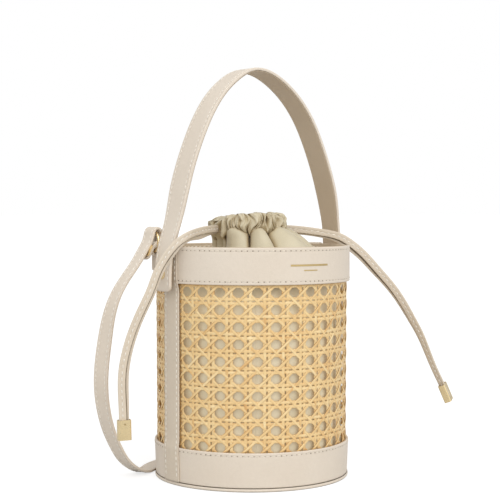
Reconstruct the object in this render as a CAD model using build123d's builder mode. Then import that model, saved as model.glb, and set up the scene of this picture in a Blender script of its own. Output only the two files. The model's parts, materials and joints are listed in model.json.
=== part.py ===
from build123d import *
import math
import os

# Small cylindrical bucket bag: leather top and bottom bands, a woven cane sleeve between them, a
# drawstring pouch inside, one riveted top handle and a long shoulder strap on two side rings.
# Millimetres. The origin is the centre of the base on the ground, +Z up, +X towards the right
# handle foot; the front of the bag faces -Y.

os.makedirs("parts", exist_ok=True)

# ---- driving dimensions ----
clear = 0.1  # air between neighbouring pieces

body_h = 175.1  # ground to rim
rim_r, band_t = 75.0, 1.65  # outside radius and leather of the top band
top_band_z = 148.4  # lower edge of the top band
bottom_band_z = 28.2  # upper edge of the bottom band
bottom_r_top, bottom_r_low = 74.2, 73.2
cane_r_top, cane_r_low, cane_t = 73.2, 72.55, 1.5
cane_z0, cane_z1 = 22.0, 153.4
facing_r, facing_t = 71.15, 0.8
piping_r, piping_wire = 72.6, 1.3
wall_z = 2 * piping_wire + clear  # lower edge of the bottom band

strip_w, strip_t = 18.7, 1.0
strip_z0, strip_z1 = 2.9, 173.4
strip_back = rim_r + clear  # back of a side strip over the top band

handle_w = 19.4  # along Y
handle_outer_t, handle_inner_t, handle_gap = 1.6, 1.2, 0.06
foot_corner_r = 4.0

stud_z, stud_shank_r = 155.5, 1.5
stud_x0, stud_x1 = 68.8, 82.35  # ends of the shank
stud_head_x, stud_head_r, stud_head_t, stud_dome_r = 82.32, 4.0, 1.7, 1.3
washer_r, washer_t = 3.4, 2.85
nut_x, nut_t, nut_fit = 68.9, 1.2, 0.05
hole_reach = 95  # half length of the cutter for the stud holes

ring_y, ring_r, ring_wire = 18.5, 7.5, 1.1
tab_w, tab_eye_r, tab_hole_r, tab_tail_t = 7.0, 3.0, 1.9, 2.2
tab_tail_x, tab_block_x, tab_block = 75.3, 76.4, 2.6

strap_w, strap_t = 12.0, 2.0
slider_l, slider_w, slider_t, slider_corner_r = 8.6, strap_w + 3.4, 1.0, 1.0
slot_x, slot_l, slot_w = 1.95, 2.6, strap_w + 0.8  # the slider's two openings

pouch_r, pouch_t, pouch_z0 = 69.1, 0.8, 4.5
hem_r, hem_hole_r, hem_z0, hem_z1, hem_round_r = 32.0, 14.0, 180.4, 199.0, 3.0

cord_w, cord_t, cord_gap = 7.6, 1.5, 0.1  # one drawstring strand; air between two strands
cord_hem_z = 187.3  # height of the drawstrings inside the hem
tip_w, tip_t, tip_h, tip_wall = 9.8, 5.8, 14.5, 0.7
tip_mouth, tip_depth, tip_screw = 11.2, 11.5, 8.2  # mouth and screw lie this far before cord end


# ---- helpers ----
def save(part, name):
    part.label = name
    export_step(part, "parts/" + name + ".step")


def box_profile(inner, outer, low, high):
    """Rectangle in the radius-height plane."""
    return [(inner, low), (outer, low), (outer, high), (inner, high)]


def upright_plane(x, y, along_x, along_y):
    """Vertical plane through (x, y): local x runs along the plan direction, local y is up."""
    length = math.hypot(along_x, along_y)
    plan_x, plan_y = along_x / length, along_y / length
    return Plane(origin=(x, y, 0), x_dir=(plan_x, plan_y, 0), z_dir=(plan_y, -plan_x, 0))


def save_disc(name, radius, z, thickness):
    with BuildPart() as disc:
        with BuildSketch(Plane.XY.offset(z)):
            Circle(radius)
        extrude(amount=thickness)
    save(disc.part, name)


def save_turned(name, profile, strip_side=0, stud_holes=False):
    """Turn a (radius, height) profile about Z; strip_side -1 or 1 keeps one strip of it."""
    with BuildPart() as turned:
        with BuildSketch(Plane.XZ):
            Polygon(*profile, align=None)
        revolve(axis=Axis.Z)
        if strip_side:
            with BuildSketch(Plane.XY):
                with Locations((strip_side * 60, 0)):
                    Rectangle(80, strip_w)
            extrude(amount=200, mode=Mode.INTERSECT)
        if stud_holes:
            with BuildSketch(Plane.YZ.offset(-hole_reach)):
                with Locations((0, stud_z)):
                    Circle(stud_shank_r + clear)
            extrude(amount=2 * hole_reach, mode=Mode.SUBTRACT)
    save(turned.part, name)


def sample(points, count):
    """Evenly spaced points and unit tangents on a smooth curve through flat (x, y) points."""
    guide = Edge.make_spline([Vector(x, y, 0) for x, y in points])
    spots = [i / (count - 1) for i in range(count)]
    return [(guide.position_at(spot), guide.tangent_at(spot)) for spot in spots]


def side_points(points, count, *offsets):
    """Lines beside a centre line, each offset in millimetres to the left of its travel."""
    line = sample(points, count)
    return [
        [(spot.X - ahead.Y * offset, spot.Y + ahead.X * offset) for spot, ahead in line]
        for offset in offsets
    ]


def ribbon(planes, left, right, width, start_tip=None):
    """Extrude the shape between two side lines from each plane; start_tip rounds its start."""
    with BuildPart() as piece:
        for plane in planes:
            with BuildSketch(plane):
                with BuildLine():
                    Spline(*left)
                    Line(left[-1], right[-1])
                    Spline(*right[::-1])
                    if start_tip:
                        ThreePointArc(right[0], start_tip, left[0])
                    else:
                        Line(right[0], left[0])
                make_face()
            extrude(amount=width)
    return piece.part


def rounded_width(from_end, full, least):
    """Width of a band with a round end, at a distance from that end."""
    radius = full / 2
    if from_end > radius:
        return full
    return max(least, 2 * math.sqrt(radius**2 - (radius - from_end) ** 2))


# ---- base: three discs from the ground up, and the piping round them ----
base_z = 0.0
for name, radius, thickness in (
    ("base_panel", 71.1, 1.6),
    ("base_board", 69.9, 2.0),
    ("base_lining", 69.9, 0.5),
):
    save_disc(name, radius, base_z, thickness)
    base_z += thickness + clear

# Corded piping that closes the seam between the base and the wall.
with BuildPart() as base_piping:
    with BuildSketch(Plane.XZ):
        with Locations((piping_r, piping_wire)):
            Circle(piping_wire)
    revolve(axis=Axis.Z)
save(base_piping.part, "base_piping")

# ---- walls: profiles of (radius, height) ----
save_turned("bottom_band", [
    (71.9, wall_z), (bottom_r_low, wall_z), (bottom_r_top, bottom_band_z - 0.4),
    (bottom_r_top - 0.4, bottom_band_z), (72.75, bottom_band_z), (72.75, 20.5),
])
save_turned("base_stiffener", [
    (71.05, 2.8), (71.75, 2.8), (72.5, 19.5), (72.5, 21.8), (71.05, 21.8),
])
save_turned("bottom_facing", box_profile(70.1, 70.9, 2.8, 26.0))
save_turned("cane_webbing", [
    (cane_r_low - cane_t, cane_z0), (cane_r_low, cane_z0),
    (cane_r_top, cane_z1), (cane_r_top - cane_t, cane_z1),
])
save_turned("top_band", [
    (rim_r - band_t, top_band_z), (rim_r - 0.4, top_band_z), (rim_r, top_band_z + 0.4),
    (rim_r, body_h - 0.6), (rim_r - 0.6, body_h), (rim_r - band_t, body_h),
], stud_holes=True)
save_turned(
    "rim_stiffener",
    box_profile(facing_r + clear, rim_r - band_t - clear, cane_z1 + 0.2, body_h - 0.5),
    stud_holes=True,
)
save_turned(
    "top_facing",
    box_profile(facing_r - facing_t, facing_r, top_band_z - 2, body_h),
    stud_holes=True,
)

# ---- side strips over the sleeve's two seams: the back going up, then the face going down ----
strip_r_low, strip_r_band, strip_r_cane = 73.35, 74.32, 73.4  # back at foot, band edge, sleeve
strip_profile = [
    (strip_r_low, strip_z0), (strip_r_band, bottom_band_z),
    (strip_r_cane, bottom_band_z + 1.6), (strip_r_cane, top_band_z - 1.6),
    (strip_back, top_band_z - 0.1), (strip_back, strip_z1),
    (strip_back + strip_t, strip_z1), (strip_back + strip_t, top_band_z - 0.4),
    (strip_r_cane + strip_t, top_band_z - 2.4), (strip_r_cane + strip_t, bottom_band_z + 2.2),
    (strip_r_band + strip_t, bottom_band_z + 0.4), (strip_r_low + strip_t, strip_z0),
]
for side, label in ((-1, "left"), (1, "right")):
    save_turned("side_strip_" + label, strip_profile, strip_side=side, stud_holes=True)

# ---- foil mark on the front of the top band: a long bar over a short one ----
foil_angle = -92.5  # centre of both bars, degrees from +X
foil_bars = ((161.6, 163.0, 12.8), (158.2, 159.0, 4.6))  # lower z, upper z, half arc in degrees
with BuildPart() as foil_mark:
    for z0, z1, half_arc in foil_bars:
        start = math.radians(foil_angle - half_arc)
        with BuildSketch(upright_plane(0, 0, math.cos(start), math.sin(start))):
            Polygon(*box_profile(rim_r + 0.02, rim_r + 0.1, z0, z1), align=None)
        revolve(axis=Axis.Z, revolution_arc=2 * half_arc)
save(foil_mark.part, "foil_mark")

# ---- handle ----
# (x, z) of the outer face, left foot to right foot over the top, leaning a little to the right.
handle_line = [
    (-82.2, 142.6), (-82.2, 155.5), (-81.2, 167.0), (-79.4, 176.0), (-76.3, 185.5),
    (-72.2, 198.8), (-67.7, 217.6), (-62.0, 236.8), (-54.5, 256.0), (-45.7, 273.7),
    (-35.2, 288.8), (-20.7, 302.0), (-4.9, 309.4), (7.9, 308.6), (23.6, 301.6),
    (39.7, 288.8), (52.0, 273.6), (61.6, 256.0), (70.0, 236.0), (75.6, 219.0),
    (79.2, 203.0), (81.7, 183.8), (82.3, 168.0), (82.2, 155.5), (82.2, 142.6),
]


def save_handle_layer(name, outer_offset, thickness):
    outer, inner = side_points(handle_line, 90, outer_offset, outer_offset - thickness)
    blank = ribbon([Plane.XZ.offset(-handle_w / 2)], outer, inner, handle_w)
    with BuildPart() as layer:
        add(blank)
        # the edges through the thickness at the feet's corners
        feet = layer.edges().filter_by(
            lambda edge: edge.center().Z < 143.5 and abs(edge.tangent_at(0.5).X) > 0.9
        )
        fillet(feet, radius=foot_corner_r)
        with BuildSketch(Plane.YZ.offset(-hole_reach)):
            with Locations((0, stud_z)):
                Circle(stud_shank_r + clear)
        extrude(amount=2 * hole_reach, mode=Mode.SUBTRACT)
    save(layer.part, name)


save_handle_layer("handle_outer_strap", 0.0, handle_outer_t)
save_handle_layer("handle_lining_strap", -handle_outer_t - handle_gap, handle_inner_t)


# ---- handle studs: washers outside the side strips, domed studs, nuts inside ----
def save_collar(name, plane, thickness, hole_r):
    with BuildPart() as collar:
        with BuildSketch(plane):
            Circle(washer_r)
            Circle(hole_r, mode=Mode.SUBTRACT)
        extrude(amount=thickness)
    save(collar.part, name)


def save_stud(name, outward, side):
    with BuildPart() as stud:
        with BuildSketch(outward.offset(stud_x0)):
            Circle(stud_shank_r)
        extrude(amount=stud_x1 - stud_x0)
        with BuildSketch(outward.offset(stud_head_x)):
            Circle(stud_head_r)
        extrude(amount=stud_head_t)
        outer_face = stud.faces().sort_by(Axis.X)[-1 if side > 0 else 0]
        fillet(outer_face.edges(), radius=stud_dome_r)
    save(stud.part, name)


for side, label in ((-1, "left"), (1, "right")):
    outward = Plane(origin=(0, 0, stud_z), x_dir=(0, 1, 0), z_dir=(side, 0, 0))
    washer_plane = outward.offset(strip_back + strip_t + clear)
    save_collar("handle_washer_" + label, washer_plane, washer_t, stud_shank_r + clear)
    save_stud("handle_stud_" + label, outward, side)
    save_collar("stud_nut_" + label, outward.offset(nut_x), nut_t, stud_shank_r + nut_fit)


# ---- side rings, their tabs, and the strap's two fold-back ends ----
def save_ring(label, centre):
    with BuildPart() as ring:
        with BuildSketch(Plane(origin=centre, x_dir=(0, 1, 0), z_dir=(0, 0, 1))):
            with Locations((ring_r, 0)):
                Circle(ring_wire)
        revolve(axis=Axis(centre, (1, 0, 0)))
    save(ring.part, "ring_" + label)


def save_tab(label, side, ring_x, ring_z, tail, has_block):
    """Leather loop: a round eye over the bottom of the ring and a tail on the band."""
    eye_x = side * (ring_x + 0.1)
    eye_z = ring_z - ring_r + 0.45
    with BuildPart() as tab:
        with BuildSketch(Plane.XZ.offset(-ring_y - tab_w / 2)):
            with Locations((eye_x, eye_z)):
                Circle(tab_eye_r)
            with Locations((side * tab_tail_x, eye_z - 0.55 - tail / 2)):
                Rectangle(tab_tail_t, tail)
            if has_block:
                # joins the eye to the tail
                with Locations((side * tab_block_x, eye_z - 1.2)):
                    Rectangle(tab_block, tab_block)
            with Locations((eye_x, eye_z)):
                Circle(tab_hole_r, mode=Mode.SUBTRACT)
        extrude(amount=tab_w)
        # the band's curved face cuts the tab's back
        with BuildSketch(Plane.XY.offset(140)):
            Circle(rim_r + 0.12)
        extrude(amount=50, mode=Mode.SUBTRACT)
    save(tab.part, "ring_tab_" + label)


def save_strap_end(label, side, line):
    mirrored = [(side * x, z) for x, z in line]
    left, right = side_points(mirrored, 110, strap_t / 2, -strap_t / 2)
    plane = Plane.XZ.offset(-ring_y - strap_w / 2)
    save(ribbon([plane], left, right, strap_w), "strap_end_" + label)


def save_slider(label, side, centre, direction):
    """Flat frame whose cross bars lie between the strap's layers, its rails outside them."""
    along = Vector(side * direction[0], 0, direction[1]).normalized()
    plane = Plane(
        origin=Vector(side * centre[0], ring_y, centre[1]),
        x_dir=along,
        z_dir=along.cross(Vector(0, 1, 0)).normalized(),
    )
    with BuildPart() as slider:
        with BuildSketch(plane.offset(-slider_t / 2)):
            RectangleRounded(slider_l, slider_w, slider_corner_r)
            with Locations((-slot_x, 0), (slot_x, 0)):
                Rectangle(slot_l, slot_w, mode=Mode.SUBTRACT)
        extrude(amount=slider_t)
    save(slider.part, "strap_slider_" + label)


# (distance from the YZ plane, z) of each end's centre line: up the outside, over the ring, back
# through it and down. The left end stands up on its own; the right one has settled lower.
left_end = [
    (93.2, 159.2), (90.5, 164.9), (86.8, 172.6), (83.9, 178.4), (82.1, 183.4),
    (80.6, 186.9), (77.6, 188.7), (74.6, 187.0), (73.5, 183.4), (74.7, 180.1),
    (77.5, 178.5), (80.2, 176.1), (82.9, 171.4), (85.4, 166.4),
]
right_end = [
    (93.2, 159.2), (90.9, 162.4), (87.8, 166.2), (84.9, 170.4), (82.4, 173.6),
    (79.0, 175.2), (76.4, 173.9), (75.5, 171.4), (75.7, 169.0), (76.9, 166.8),
    (79.0, 165.2), (81.4, 163.6), (84.0, 161.2), (86.0, 158.6),
]
side_sets = (
    # side, label, ring x and z, tab tail, tab block, end line, slider centre, slider direction
    (-1, "left", 77.5, 178.5, 13.4, False, left_end, (84.9, 172.3), (3.5, -7.4)),
    (1, "right", 78.8, 165.0, 8.2, True, right_end, (86.3, 164.0), (4.6, -5.9)),
)
for side, label, ring_x, ring_z, tail, has_block, line, slider_mid, slider_dir in side_sets:
    save_ring(label, (side * ring_x, ring_y, ring_z))
    save_tab(label, side, ring_x, ring_z, tail, has_block)
    save_strap_end(label, side, line)
    save_slider(label, side, slider_mid, slider_dir)

# ---- shoulder strap: down from the left end, along the ground behind the bag, up to the right ----
# x, y, z of the centre line on the right half, and lean: the width runs along (lean, 1, 0).
strap_half = [
    (94.0, 18.6, 157.6, 0), (98.8, 19.7, 151.0, 0), (104.9, 22.0, 139.0, 0.1),
    (110.2, 24.9, 123.5, 0.22), (113.7, 28.2, 106.0, 0.3), (114.4, 31.2, 88.5, 0.34),
    (113.4, 34.0, 71.0, 0.34), (109.8, 36.6, 54.0, 0.3), (104.2, 38.8, 38.5, 0.26),
    (96.4, 41.0, 24.2, 0.22), (87.4, 43.2, 12.5, 0.22), (77.8, 45.6, 5.6, 0.28),
    (69.4, 48.6, 2.1, 0.5), (61.0, 54.0, 1.3, 0.85), (50.0, 63.6, 1.25, 0.8),
    (36.0, 72.8, 1.25, 0.5), (19.0, 79.4, 1.25, 0.25),
]
strap_path = [(-x, y, z, -lean) for x, y, z, lean in strap_half]
strap_path += [(0.0, 81.6, 1.25, 0)] + strap_half[::-1]


def strap_sections(count):
    """Evenly spaced planes across the strap, each with the strap's width there."""
    points = [Vector(x, y, z) for x, y, z, lean in strap_path]
    leans = [lean for x, y, z, lean in strap_path]
    guide = Edge.make_spline(points)
    knots = [guide.param_at_point(point) for point in points]
    sections = []
    for i in range(count):
        spot = i / (count - 1)
        k = max(j for j in range(len(knots) - 1) if knots[j] <= spot + 1e-9)
        blend = min(1.0, max(0.0, (spot - knots[k]) / (knots[k + 1] - knots[k])))
        lean = leans[k] * (1 - blend) + leans[k + 1] * blend
        ahead = guide.tangent_at(spot)
        across = Vector(lean, 1, 0)
        across = (across - ahead * across.dot(ahead)).normalized()
        plane = Plane(origin=guide.position_at(spot), x_dir=across, z_dir=ahead)
        from_end = min(spot, 1 - spot) * guide.length
        sections.append((plane, rounded_width(from_end, strap_w, 4.0)))
    return sections


with BuildPart() as shoulder_strap:
    for plane, width in strap_sections(97):
        with BuildSketch(plane):
            Rectangle(width, strap_t)
    loft(ruled=True)
save(shoulder_strap.part, "shoulder_strap")

# ---- pouch: (radius, height) up the outside, then down the inside ----
save_turned("pouch_body", [
    (0, pouch_z0), (pouch_r - 3, pouch_z0), (pouch_r, 7.5), (pouch_r, 128.0), (66.2, 138.0),
    (65.4, 138.0), (pouch_r - pouch_t, 127.8), (pouch_r - pouch_t, 7.9),
    (pouch_r - 3.4, pouch_z0 + pouch_t), (0, pouch_z0 + pouch_t),
])
save_turned("pouch_flare", [
    (66.0, 138.4), (61.5, 150.0), (53.0, 163.0), (41.5, 174.0), (33.0, 180.2),
    (32.2, 180.2), (41.0, 173.2), (52.4, 162.4), (60.8, 149.6), (65.2, 138.4),
])

# Vertical planes of the drawstring runs: start in plan, then direction in plan.
left_plane = upright_plane(-33.8, 1.9, -39.2, -17.9)
left_tail_plane = upright_plane(-73.0, -16.0, -45.0, 12.0)
right_plane = upright_plane(30.0, 1.4, 42.4, -20.8)

# Gathered ring at the pouch's mouth, with a slot for each drawstring.
hem_slot_h = cord_w + 2.0
with BuildPart() as pouch_hem:
    with BuildSketch(Plane.XY.offset(hem_z0)):
        Circle(hem_r)
        Circle(hem_hole_r, mode=Mode.SUBTRACT)
    extrude(amount=hem_z1 - hem_z0)
    top_circles = pouch_hem.edges().filter_by(GeomType.CIRCLE).group_by(Axis.Z)[-1]
    fillet(top_circles, radius=hem_round_r)
    for run in (left_plane, right_plane):
        slot_origin = run.origin + Vector(0, 0, cord_hem_z)
        slot_plane = Plane(origin=slot_origin, x_dir=run.x_dir, z_dir=(0, 0, 1))
        with BuildSketch(slot_plane.offset(-hem_slot_h / 2)):
            with Locations((-2.0, 0)):
                Rectangle(24.0, 2 * cord_t + 1.6)
        extrude(amount=hem_slot_h, mode=Mode.SUBTRACT)
save(pouch_hem.part, "pouch_hem")

# ---- drawstrings: two strands each, face to face, on edge ----
# Centre lines as (distance along the run, z).
inner_left = [(-12.0, cord_hem_z), (5.0, 187.2), (20.0, 186.2), (30.0, 184.8), (38.2, 183.0)]
inner_right = [(-12.0, cord_hem_z), (5.7, 186.9), (23.5, 185.2), (34.0, 183.6), (41.6, 181.9)]
tail_left = [
    (-0.4, 181.6), (4.6, 178.4), (13.8, 168.2), (20.0, 158.1), (25.4, 145.0), (33.2, 129.2),
    (40.0, 113.7), (44.2, 100.3), (46.5, 87.9), (47.0, 75.0), (46.3, 60.0), (46.0, 50.0),
    (45.8, 41.3),
]
tail_right = [
    (46.0, 180.6), (54.2, 176.0), (66.2, 166.2), (77.5, 154.3), (88.6, 142.3), (98.0, 129.9),
    (106.3, 116.5), (114.5, 101.9), (120.9, 87.0), (126.6, 73.7), (132.1, 62.3), (136.8, 52.2),
]
tail_twist = 58  # degrees the right tail has turned at its tip


def strands(plane, centre, round_start=False):
    """Two flat strands, one on each side of the run's vertical plane."""
    upper, lower = side_points(centre, 60, cord_w / 2, -cord_w / 2)
    start_tip = None
    if round_start:
        start, ahead = sample(centre, 2)[0]
        start_tip = (start.X - ahead.X * cord_w / 2, start.Y - ahead.Y * cord_w / 2)
    planes = [plane.offset(lift) for lift in (cord_gap / 2, -cord_gap / 2 - cord_t)]
    return ribbon(planes, upper, lower, cord_t, start_tip)


def cord_frame(plane, spot, tangent, turn):
    """Section plane of a cord: x through its thickness, y across its width, z ahead."""
    ahead = plane.x_dir * tangent.X + Vector(0, 0, 1) * tangent.Y
    across = ahead.cross(plane.z_dir).normalized()
    return Plane(
        origin=plane.from_local_coords(Vector(spot.X, spot.Y, 0)),
        x_dir=plane.z_dir * math.cos(turn) - across * math.sin(turn),
        z_dir=ahead,
    )


def twist_at(fraction):
    """Turn of the right tail in radians, easing in and out along its length."""
    ease = min(1.0, max(0.0, (fraction - 0.10) / 0.75))
    return math.radians(tail_twist) * ease * ease * (3 - 2 * ease)


def twisted_strands(plane, centre, stations=44):
    """Two strands that turn together about their shared centre line."""
    line = sample(centre, stations)
    length = Edge.make_spline([Vector(x, y, 0) for x, y in centre]).length
    pair = []
    for lift in (cord_gap / 2 + cord_t / 2, -cord_gap / 2 - cord_t / 2):
        with BuildPart() as strand:
            for i, (spot, tangent) in enumerate(line):
                fraction = i / (stations - 1)
                frame = cord_frame(plane, spot, tangent, twist_at(fraction))
                section = Plane(
                    origin=frame.origin + frame.x_dir * lift,
                    x_dir=frame.y_dir,
                    z_dir=frame.z_dir,
                )
                with BuildSketch(section):
                    Rectangle(rounded_width(fraction * length, cord_w, 3.0), cord_t)
            loft(ruled=True)
        pair.append(strand.part)
    return Compound(children=pair)


save(strands(left_plane, inner_left), "drawstring_left")
save(strands(right_plane, inner_right), "drawstring_right")
save(strands(left_tail_plane, tail_left, round_start=True), "drawstring_left_tail")
save(twisted_strands(right_plane, tail_right), "drawstring_right_tail")


# ---- cord tips: box-shaped metal caps, open at the top, each with a tiny set screw ----
def save_tip(label, plane, centre, turn):
    end, tangent = sample(centre, 2)[-1]
    frame = cord_frame(plane, end, tangent, turn)
    mouth = frame.offset(-tip_mouth)
    screw_origin = frame.origin - frame.z_dir * tip_screw
    screw_plane = Plane(origin=screw_origin, x_dir=frame.z_dir, z_dir=frame.x_dir)
    with BuildPart() as cap:
        with BuildSketch(mouth):
            RectangleRounded(tip_t, tip_w, 1.6)
        extrude(amount=tip_h)
        with BuildSketch(mouth):
            RectangleRounded(tip_t - 2 * tip_wall, tip_w - 2 * tip_wall, 0.9)
        extrude(amount=tip_depth, mode=Mode.SUBTRACT)
        with BuildSketch(screw_plane.offset(-6)):
            Circle(0.65)
        extrude(amount=6, mode=Mode.SUBTRACT)
    save(cap.part, "cord_tip_" + label)
    with BuildPart() as screw:
        with BuildSketch(screw_plane.offset(-3.1)):
            Circle(0.55)
        extrude(amount=1.2)
    save(screw.part, "tip_screw_" + label)


save_tip("left", left_tail_plane, tail_left, turn=0.0)
save_tip("right", right_plane, tail_right, turn=twist_at(1.0))
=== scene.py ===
"""A round cane-webbed bucket bag with leather bands, a gathered satin pouch and leather straps.

The bag stands on z = 0 with its axis on Z. Left is -X, front is -Y. The handle arches over it in
the XZ plane; the shoulder strap hangs from both sides and lies on the floor behind the bag (+Y).
Shapes are written in millimetres and scaled to metres when the meshes are made. Angles around the
bag are azimuths from +X, in degrees.
"""
import bmesh
import bpy
import json
import math
import random
import numpy as np
from mathutils import Vector, Matrix, noise

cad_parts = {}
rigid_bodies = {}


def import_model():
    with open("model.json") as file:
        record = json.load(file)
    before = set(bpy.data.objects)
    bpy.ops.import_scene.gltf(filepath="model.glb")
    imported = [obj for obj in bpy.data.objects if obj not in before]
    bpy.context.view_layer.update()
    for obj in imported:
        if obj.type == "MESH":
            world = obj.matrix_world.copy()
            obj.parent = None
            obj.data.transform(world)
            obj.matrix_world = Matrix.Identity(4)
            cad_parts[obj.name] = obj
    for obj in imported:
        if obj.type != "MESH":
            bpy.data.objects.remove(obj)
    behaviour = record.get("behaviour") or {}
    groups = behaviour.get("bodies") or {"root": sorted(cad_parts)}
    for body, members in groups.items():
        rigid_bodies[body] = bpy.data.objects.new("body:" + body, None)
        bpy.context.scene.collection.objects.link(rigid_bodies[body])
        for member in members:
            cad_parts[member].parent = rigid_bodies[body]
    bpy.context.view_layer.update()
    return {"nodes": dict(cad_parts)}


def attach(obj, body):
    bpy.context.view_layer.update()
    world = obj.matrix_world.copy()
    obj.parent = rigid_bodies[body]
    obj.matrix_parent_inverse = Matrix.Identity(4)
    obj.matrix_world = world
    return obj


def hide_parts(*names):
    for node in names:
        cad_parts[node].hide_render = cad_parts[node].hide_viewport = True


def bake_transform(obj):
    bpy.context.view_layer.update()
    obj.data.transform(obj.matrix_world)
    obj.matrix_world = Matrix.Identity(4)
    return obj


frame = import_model()
random.seed(7)
MM = 0.001

THREAD_SLOT, HOLE_SLOT = 1, 2         # material slots shared by every stitched piece
TURN_SEGMENTS = 300                   # segments around the turned leather rings

VIEW_AZIMUTH = -127.3                 # the side of the pouch that faces the camera
VIEW_HEADING = (0.606, 0.795)         # plan direction the camera looks along
VIEW_RIGHT = (0.795, -0.606)          # plan direction to the camera's right


# ---------------------------------------------------------------- maths
def lengths(points):
    """Distance along a polyline at each of its points."""
    return np.concatenate([[0], np.cumsum(np.linalg.norm(np.diff(points, axis=0), axis=1))])


def unit(vectors):
    vectors = np.asarray(vectors, float)
    return vectors / np.maximum(np.linalg.norm(vectors, axis=-1, keepdims=True), 1e-12)


def rise(value, start, end):
    """Smooth step from 0 at start to 1 at end."""
    x = np.clip((value - start) / (end - start), 0, 1)
    return x * x * (3 - 2 * x)


def interp_rows(at, stations, rows):
    """Linear interpolation of every column of a table."""
    return np.stack([np.interp(at, stations, column) for column in rows.T], -1)


def circle_angles(count):
    return np.linspace(0, 2 * math.pi, count, endpoint=False)


def noise_at(x, y, z):
    return noise.noise(Vector((x, y, z)))


def noise_around(angles, scale, height, shift=0.0):
    """Noise sampled on a circle of radius `scale`, so that it closes on itself."""
    return np.array([noise_at(math.cos(a) * scale + shift, math.sin(a) * scale, height)
                     for a in angles])


def spline(points, step):
    """Even steps along a natural cubic through the points.

    Returns positions, unit tangents, distances and fractional point indices.
    """
    points = np.array(points, float)
    knots = lengths(points)
    gaps = np.diff(knots)
    n = len(points)
    matrix = np.zeros((n, n))
    right = np.zeros(points.shape)
    matrix[0, 0] = matrix[-1, -1] = 1
    for i in range(1, n - 1):
        matrix[i, i - 1:i + 2] = gaps[i - 1], 2 * (gaps[i - 1] + gaps[i]), gaps[i]
        right[i] = 6 * ((points[i + 1] - points[i]) / gaps[i]
                        - (points[i] - points[i - 1]) / gaps[i - 1])
    bend = np.linalg.solve(matrix, right)

    def at(u):
        i = np.clip(np.searchsorted(knots, u, side="right") - 1, 0, n - 2)
        gap = gaps[i][:, None]
        done = (u - knots[i])[:, None]
        left = gap - done
        return ((bend[i] * left ** 3 + bend[i + 1] * done ** 3) / (6 * gap)
                + (points[i] / gap - bend[i] * gap / 6) * left
                + (points[i + 1] / gap - bend[i + 1] * gap / 6) * done)

    dense = np.linspace(0, knots[-1], 4000)
    dense_lengths = lengths(at(dense))
    count = int(round(dense_lengths[-1] / step)) + 1
    distances = np.linspace(0, dense_lengths[-1], count)
    u = np.interp(distances, dense_lengths, dense)
    positions = at(u)
    tangents = unit(np.gradient(positions, axis=0))
    return positions, tangents, distances, np.interp(u, knots, np.arange(n))


# ---------------------------------------------------------------- mesh helpers
def make(name, verts, faces, materials, slot, body=None, replaces=(), face_slots=None,
         uvs=None, strand_ids=None):
    mesh = bpy.data.meshes.new(name)
    mesh.from_pydata((np.asarray(verts, float) * MM).tolist(), [],
                     [list(map(int, face)) for face in faces])
    mesh.update()
    if uvs is not None:
        layer = mesh.uv_layers.new(name="UVMap")
        corners = np.zeros(len(mesh.loops), np.int32)
        mesh.loops.foreach_get("vertex_index", corners)
        layer.data.foreach_set("uv", np.asarray(uvs, np.float32)[corners].ravel())
    if strand_ids is not None:
        attribute = mesh.attributes.new("sid", "FLOAT", "POINT")
        attribute.data.foreach_set("value", np.asarray(strand_ids, np.float32))
    obj = bpy.data.objects.new(name, mesh)
    bpy.context.scene.collection.objects.link(obj)
    for material in materials:
        mesh.materials.append(material)
    if face_slots is not None:
        mesh.polygons.foreach_set("material_index", np.asarray(face_slots, np.int32))
    mesh.polygons.foreach_set("use_smooth", np.full(len(mesh.polygons), True))
    bm = bmesh.new()
    bm.from_mesh(mesh)
    bmesh.ops.recalc_face_normals(bm, faces=bm.faces)
    bm.to_mesh(mesh)
    bm.free()
    if body:
        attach(obj, body)
    if replaces:
        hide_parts(*replaces)
    return obj


class MeshGroup:
    """Collects several closed meshes into one object."""

    def __init__(self):
        self.verts, self.faces, self.slots, self.uvs, self.ids = [], [], [], [], []
        self.count = 0

    def add(self, verts, faces, slot=0, uvs=None, strand_id=0.0):
        self.verts.append(verts)
        self.faces += [[i + self.count for i in face] for face in faces]
        self.slots += [slot] * len(faces)
        self.uvs.append(np.zeros((len(verts), 2)) if uvs is None else uvs)
        self.ids.append(np.full(len(verts), float(strand_id)))
        self.count += len(verts)

    def build(self, name, materials, slot, **told):
        return make(name, np.concatenate(self.verts), self.faces, materials, slot,
                    face_slots=self.slots, uvs=np.concatenate(self.uvs),
                    strand_ids=np.concatenate(self.ids), **told)


def loft(rings, closed=False):
    """Quads between successive rings of equal length; an open loft gets two end faces."""
    rings = np.asarray(rings, float)
    count, size = rings.shape[:2]
    faces = []
    for i in range(count if closed else count - 1):
        a, b = i * size, (i + 1) % count * size
        for j in range(size):
            k = (j + 1) % size
            faces.append((a + j, a + k, b + k, b + j))
    if not closed:
        faces.append(tuple(range(size - 1, -1, -1)))
        faces.append(tuple(range((count - 1) * size, count * size)))
    return rings.reshape(-1, 3), faces


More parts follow.
